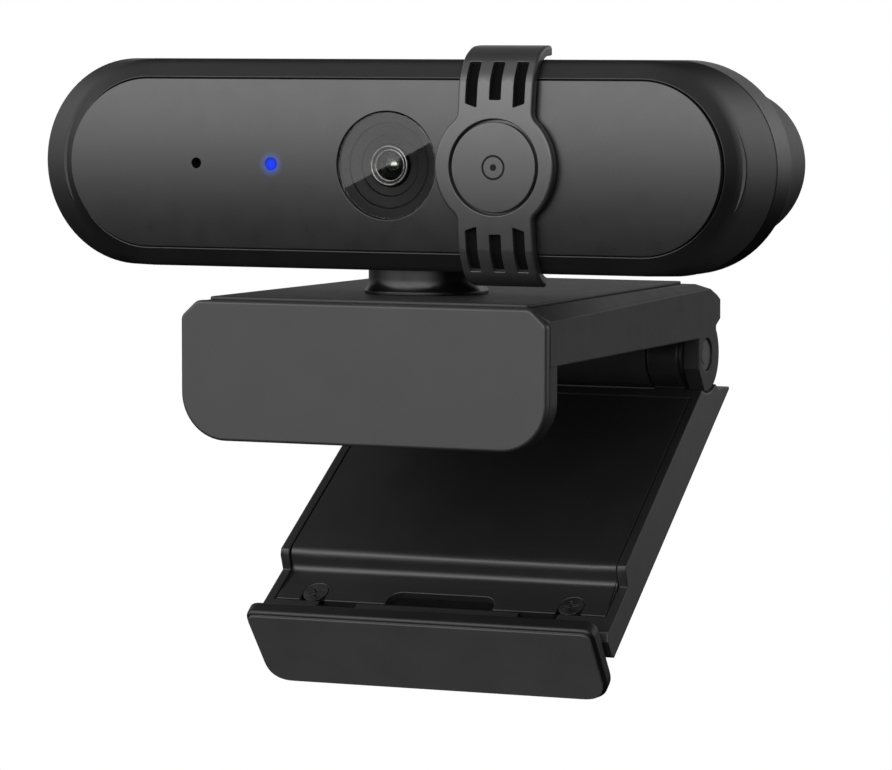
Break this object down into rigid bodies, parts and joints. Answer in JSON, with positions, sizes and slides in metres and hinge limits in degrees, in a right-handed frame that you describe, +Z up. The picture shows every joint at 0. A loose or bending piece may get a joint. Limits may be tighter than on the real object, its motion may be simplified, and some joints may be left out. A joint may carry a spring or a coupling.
{
  "type": "clip-on webcam",
  "caption": "Webcam with a pill-shaped head and sliding privacy cover, on a swivel neck over a folding clip that hangs on a screen's edge.",
  "frame": {"origin": "on the pan axis, on the lower face of the rubber pad that rests on the screen's top edge", "axes": "+X to the viewer's right, +Y away from the viewer, +Z up; the lens looks along -Y"},
  "size_m": [0.1, 0.0676, 0.0825],
  "materials": {
    "panel_plastic": "satin, very fine grain",
    "shell_plastic": "satin",
    "cover_plastic": "satin, fine grain",
    "plate_plastic": "satin, fine grain",
    "clip_plastic": "fine spark grain",
    "leg_plastic": "satin",
    "foot_plastic": "soft matte",
    "neck_plastic": "polished",
    "inner_plastic": "plain",
    "lens_black": "low sheen",
    "window_glass": "polished, dark tint",
    "lens_glass": "coated",
    "bright_ring": "turned",
    "sensor": "glassy",
    "circuit_board": "solder mask",
    "chip_black": "moulded epoxy",
    "connector_white": "plain",
    "status_light": "lit, frosted",
    "rubber": "matt",
    "felt": "short pile",
    "steel": "zinc plated",
    "dark_steel": "black oxide",
    "brass": "plain"
  },
  "bodies": {
    "clip": {"clip_bracket": "clip_plastic", "top_plate": "clip_plastic", "cover_plate": "plate_plastic", "lip_pad": "rubber", "base_plate": "clip_plastic", "base_screws": "dark_steel", "rest_pad": "rubber", "hinge_pin": "steel", "hinge_washers": "steel"},
    "neck": {"neck_post": "neck_plastic", "pan_washer": "steel", "pan_spring": "steel", "pan_screw": "steel"},
    "head": {"front_panel": "panel_plastic", "front_bezel": "shell_plastic", "mid_shell": "shell_plastic", "rear_housing": "shell_plastic", "lens_window": "window_glass", "lens_surround": "lens_black", "lens_barrel": "lens_black", "lens_trim_ring": "bright_ring", "lens_element": "lens_glass", "lens_holder": "lens_black", "image_sensor": "sensor", "main_board": "circuit_board", "processor_chip": "chip_black", "board_connector": "connector_white", "board_screws": "steel", "status_light": "status_light", "light_chip": "connector_white", "microphone": "brass", "mic_gasket": "rubber", "case_screws": "dark_steel", "cable_grommet": "rubber", "tilt_cradle": "inner_plastic", "tilt_pin": "steel", "tilt_washers": "steel"},
    "cover": {"privacy_cover": "cover_plastic", "cover_disc": "cover_plastic", "cover_felt": "felt"},
    "leg": {"leg_frame": "clip_plastic", "leg_panel": "leg_plastic", "leg_screws": "dark_steel", "tripod_insert": "brass", "foot_pin": "steel"},
    "foot": {"foot_flap": "rubber", "foot_pad": "foot_plastic"}
  },
  "joints": [
    {"name": "pan", "type": "hinge", "parent": "clip", "child": "neck", "pos_m": [0, 0, 0.0079], "axis": [0, 0, 1], "range_deg": [-180, 180]},
    {"name": "tilt", "type": "hinge", "parent": "neck", "child": "head", "pos_m": [0, 0, 0.0188], "axis": [-1, 0, 0], "range_deg": [-3, 20]},
    {"name": "cover_slide", "type": "slide", "parent": "head", "child": "cover", "axis": [1, 0, 0], "range_m": [-0.0151, 0.015]},
    {"name": "leg_fold", "type": "hinge", "parent": "clip", "child": "leg", "pos_m": [0, 0.0391, -0.0019], "axis": [1, 0, 0], "range_deg": [-34.4, 60]},
    {"name": "foot_turn", "type": "hinge", "parent": "leg", "child": "foot", "pos_m": [0, 0.00276, -0.03538], "axis": [1, 0, 0], "range_deg": [-34, 4]}
  ]
}
